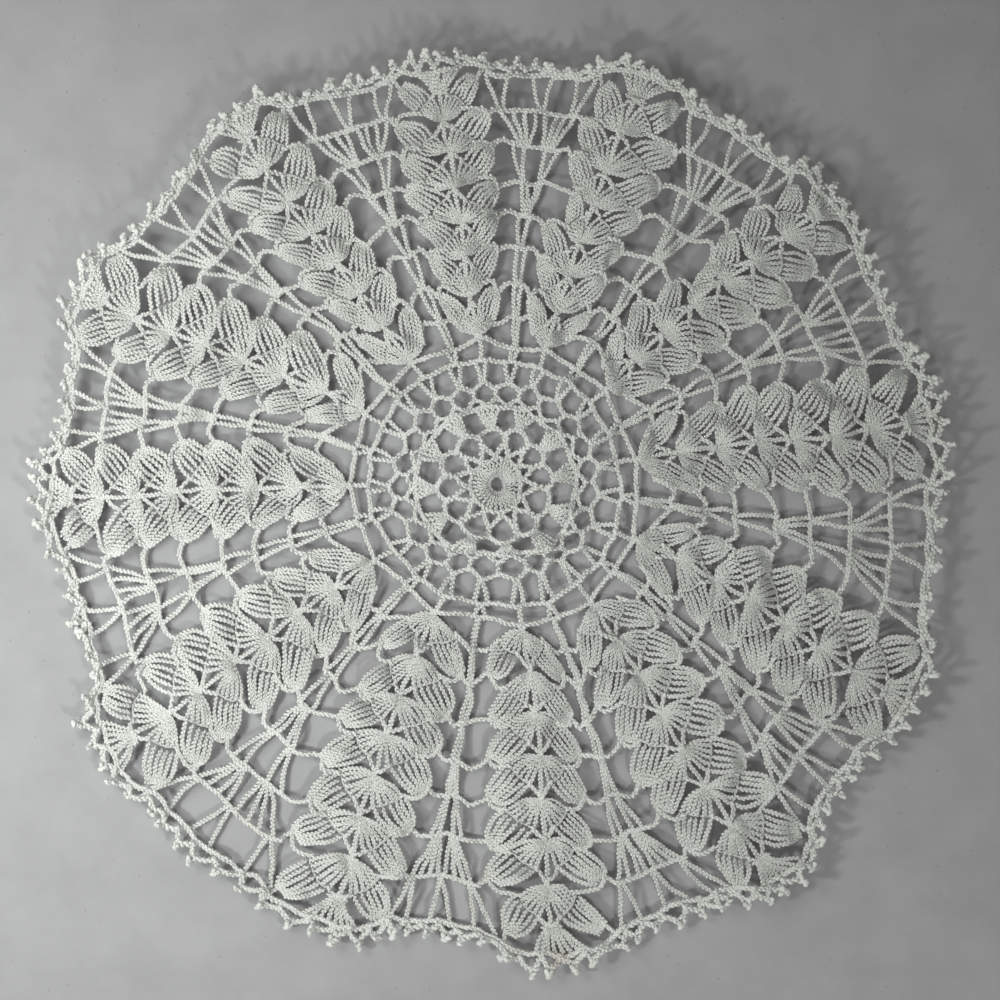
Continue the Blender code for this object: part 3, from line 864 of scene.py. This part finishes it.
def path_mesh(name, paths):
    """Edges along the paths, with the width of the stitch at each point."""
    verts, edges, widths = [], [], []
    for points, thick in paths:
        first = len(verts)
        verts.extend(points)
        edges.extend((first + i, first + i + 1) for i in range(len(points) - 1))
        widths.extend(thick)
    mesh = bpy.data.meshes.new(name)
    mesh.from_pydata(verts, edges, [])
    mesh.attributes.new("width", "FLOAT", "POINT").data.foreach_set("value", widths)
    return mesh


def picot_mesh(name, picots):
    mesh = bpy.data.meshes.new(name)
    mesh.from_pydata([p for p, _ in picots], [], [])
    out = mesh.attributes.new("out", "FLOAT_VECTOR", "POINT")
    out.data.foreach_set("vector", [c for _, way in picots for c in way])
    return mesh


def worked(mesh, tree, **settings):
    """The mesh that a tree makes from a mesh of paths."""
    host = in_scene(mesh.name, mesh)
    modifier = host.modifiers.new("Stitches", "NODES")
    modifier.node_group = tree
    for item in tree.interface.items_tree:
        if item.in_out == "INPUT" and item.name in settings:
            modifier[item.identifier] = settings[item.name]
    result = bpy.data.meshes.new_from_object(host.evaluated_get(bpy.context.evaluated_depsgraph_get()))
    host.modifiers.remove(modifier)
    bpy.data.objects.remove(host)
    return result


def joined(name, parts):
    """One object from several meshes."""
    objects = [in_scene(name, part) for part in parts]
    bpy.context.view_layer.update()
    if len(objects) > 1:
        with bpy.context.temp_override(active_object=objects[0], selected_editable_objects=objects):
            bpy.ops.object.join()
    objects[0].name = name
    return objects[0]


def triangles(piece):
    return sum(len(p.vertices) - 2 for p in piece.data.polygons)


STITCHES = {                    # tree, material, and what is added to the seed
    "posts": (wrapped_posts, post_cotton, 0),
    "fans": (wrapped_posts, post_cotton, 10),
    "chains": (chain_links, chain_cotton, 20),
}
PICOT_SEED = 40


def stitched(kind, paths, seed):
    tree, cotton, added = STITCHES[kind]
    return worked(path_mesh(kind, paths), tree, Seed=seed + added, Thread=cotton)


parts = {}
for seed, (name, work) in enumerate({"doily_centre": centre, **quarters}.items(), 1):
    posts, chains = stitched("posts", work.posts, seed), stitched("chains", work.chains, seed)
    if work.fans:
        picots = worked(picot_mesh("picots", work.picots), picot_knots, Seed=seed + PICOT_SEED,
                        Thread=chain_cotton)
        part = {"rounds": [posts, chains, picots], "fans": [stitched("fans", work.fans, seed)]}
    else:
        part = {"chains": [chains], "posts": [posts]}
    parts[name] = [joined(f"{name}_{kind}", meshes) for kind, meshes in part.items()]
    print(name, [triangles(piece) for piece in parts[name]], "triangles")

# %% [markdown]
# ## The pieces of lace
# Each piece is a part of one sheet of lace that lies on a table. Each is hung from the root, and the
# imported doily is hidden. The area that each quarter of the pattern covers, from the roots of the
# columns to the picots, is worked out, though nothing here keeps it.

AREA_STEPS = 24                 # strips to a repeat
BORDER_SHARE = 0.9              # the picots cover the border up to here


def covered(repeats):
    """The area in square metres from the roots of the columns to the picots, for these repeats."""
    total = 0.0
    for repeat in repeats:
        for i in range(AREA_STEPS):
            a, b = (2.0 * (i + k) / AREA_STEPS for k in (0, 1))
            inner = [spot(row, repeat, u, ORIGIN_ROW * (1.0 - min(u, 2.0 - u))) for u in (a, b)]
            outer = [spot(edging, repeat, u, BORDER_SHARE) for u in (b, a)]
            loop = inner + outer
            total += 0.5 * abs(sum(p.x * q.y - p.y * q.x for p, q in zip(loop, loop[1:] + loop[:1])))
    return total


for part in parts.values():
    for piece in part:
        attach(piece, "root")
        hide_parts("doily")
for name, repeats in QUARTERS.items():
    covered(repeats)

# %% [markdown]
# ## The table, the light and the camera
# The lace is pale, so it shows best on a slightly darker grey, cloudy and specked like concrete. Two
# small lights stand low on the near side, left and right: low light draws every stitch with a shaded
# side, and two of them give each thread two shadows. A larger one on the far left softens them. All three
# are aimed left of the middle, so the table grows darker towards the right. The camera looks straight
# down from far away, so the rim that stands off the table isn't spread outwards.

# %% Table
TABLE_DEEP = (0.346, 0.352, 0.360, 1.0)
TABLE_LIGHT = (0.390, 0.396, 0.406, 1.0)
SPECK_GREY = (0.14, 0.14, 0.15, 1.0)
TABLE_SIZE = 16.0               # metres, so that no low view sees its edge


def table_material():
    material, tree, shader = new_material("table_grey")
    where = node(tree, "ShaderNodeTexCoord").outputs["Object"]
    clouds = node(tree, "ShaderNodeTexNoise", {"Vector": where, "Scale": 42.0, "Detail": 6.0,
                                               "Roughness": 0.65})
    grey = mixed(tree, ranged(tree, clouds.outputs[0], 0.34, 0.66), TABLE_DEEP, TABLE_LIGHT)
    cells = node(tree, "ShaderNodeTexVoronoi", {"Vector": where, "Scale": 160.0})
    specks = ranged(tree, cells.outputs["Distance"], 0.075, 0.045, 0.0, 0.4)
    tree.links.new(mixed(tree, specks, grey, SPECK_GREY), shader.inputs["Base Color"])
    shader.inputs["Roughness"].default_value = 0.85
    return material


bpy.ops.mesh.primitive_plane_add(size=TABLE_SIZE, location=(0.0, 0.0, -0.0001))
floor = bpy.context.object
floor.name = "floor"
floor.data.materials.append(table_material())
print("table ready")

# %% Light
LAMP_COLOUR = (1.0, 1.0, 0.98)
SKY_COLOUR = (1.0, 1.0, 0.94, 1.0)
SKY_STRENGTH = 0.26
Lamp = namedtuple("Lamp", "name azimuth elevation distance size spread aim_x aim_y power")
LAMPS = (                       # degrees, metres and watts
    Lamp("key_left", 207.0, 36.0, 0.6, 0.08, 100.0, -0.05, -0.05, 0.41),
    Lamp("key_right", 298.0, 42.0, 0.9, 0.12, 100.0, -0.17, -0.15, 0.70),
    Lamp("side", 165.0, 42.0, 0.5, 0.30, 100.0, -0.18, 0.03, 0.41),
)


def soft_light(lamp):
    data = bpy.data.lights.new(lamp.name, "AREA")
    data.shape = "DISK"
    data.size = lamp.size
    data.energy = lamp.power
    data.spread = math.radians(lamp.spread)
    data.color = LAMP_COLOUR
    light = in_scene(lamp.name, data)
    azimuth, elevation = math.radians(lamp.azimuth), math.radians(lamp.elevation)
    flat = math.cos(elevation)
    light.location = lamp.distance * Vector((flat * math.cos(azimuth), flat * math.sin(azimuth),
                                             math.sin(elevation)))
    way = light.location - Vector((lamp.aim_x, lamp.aim_y, 0.0))
    light.rotation_euler = way.to_track_quat("Z", "Y").to_euler()


for lamp in LAMPS:
    soft_light(lamp)
world = bpy.data.worlds.new("soft grey")
world.use_nodes = True
sky = world.node_tree.nodes["Background"]
sky.inputs["Color"].default_value = SKY_COLOUR
sky.inputs["Strength"].default_value = SKY_STRENGTH
bpy.context.scene.world = world
bpy.context.scene.view_settings.view_transform = "Standard"

# %% Camera
LENS = 100.0                    # millimetres, as all sizes here
SENSOR = 36.0
VIEW_WIDTH = 370.0              # of table across the picture
VIEW_CENTRE = (2.60, 4.04)
LACE_TOP = 1.5                  # the height at which the view is that wide
camera_data = bpy.data.cameras.new("camera")
camera_data.lens = LENS
camera_data.clip_end = 10.0
camera = in_scene("camera", camera_data)
camera.location = Vector((*VIEW_CENTRE, LENS / SENSOR * VIEW_WIDTH + LACE_TOP)) * MM
bpy.context.scene.camera = camera
print("camera height:", round(camera.location.z, 3), "m")

# %% Finish
bpy.context.view_layer.update()
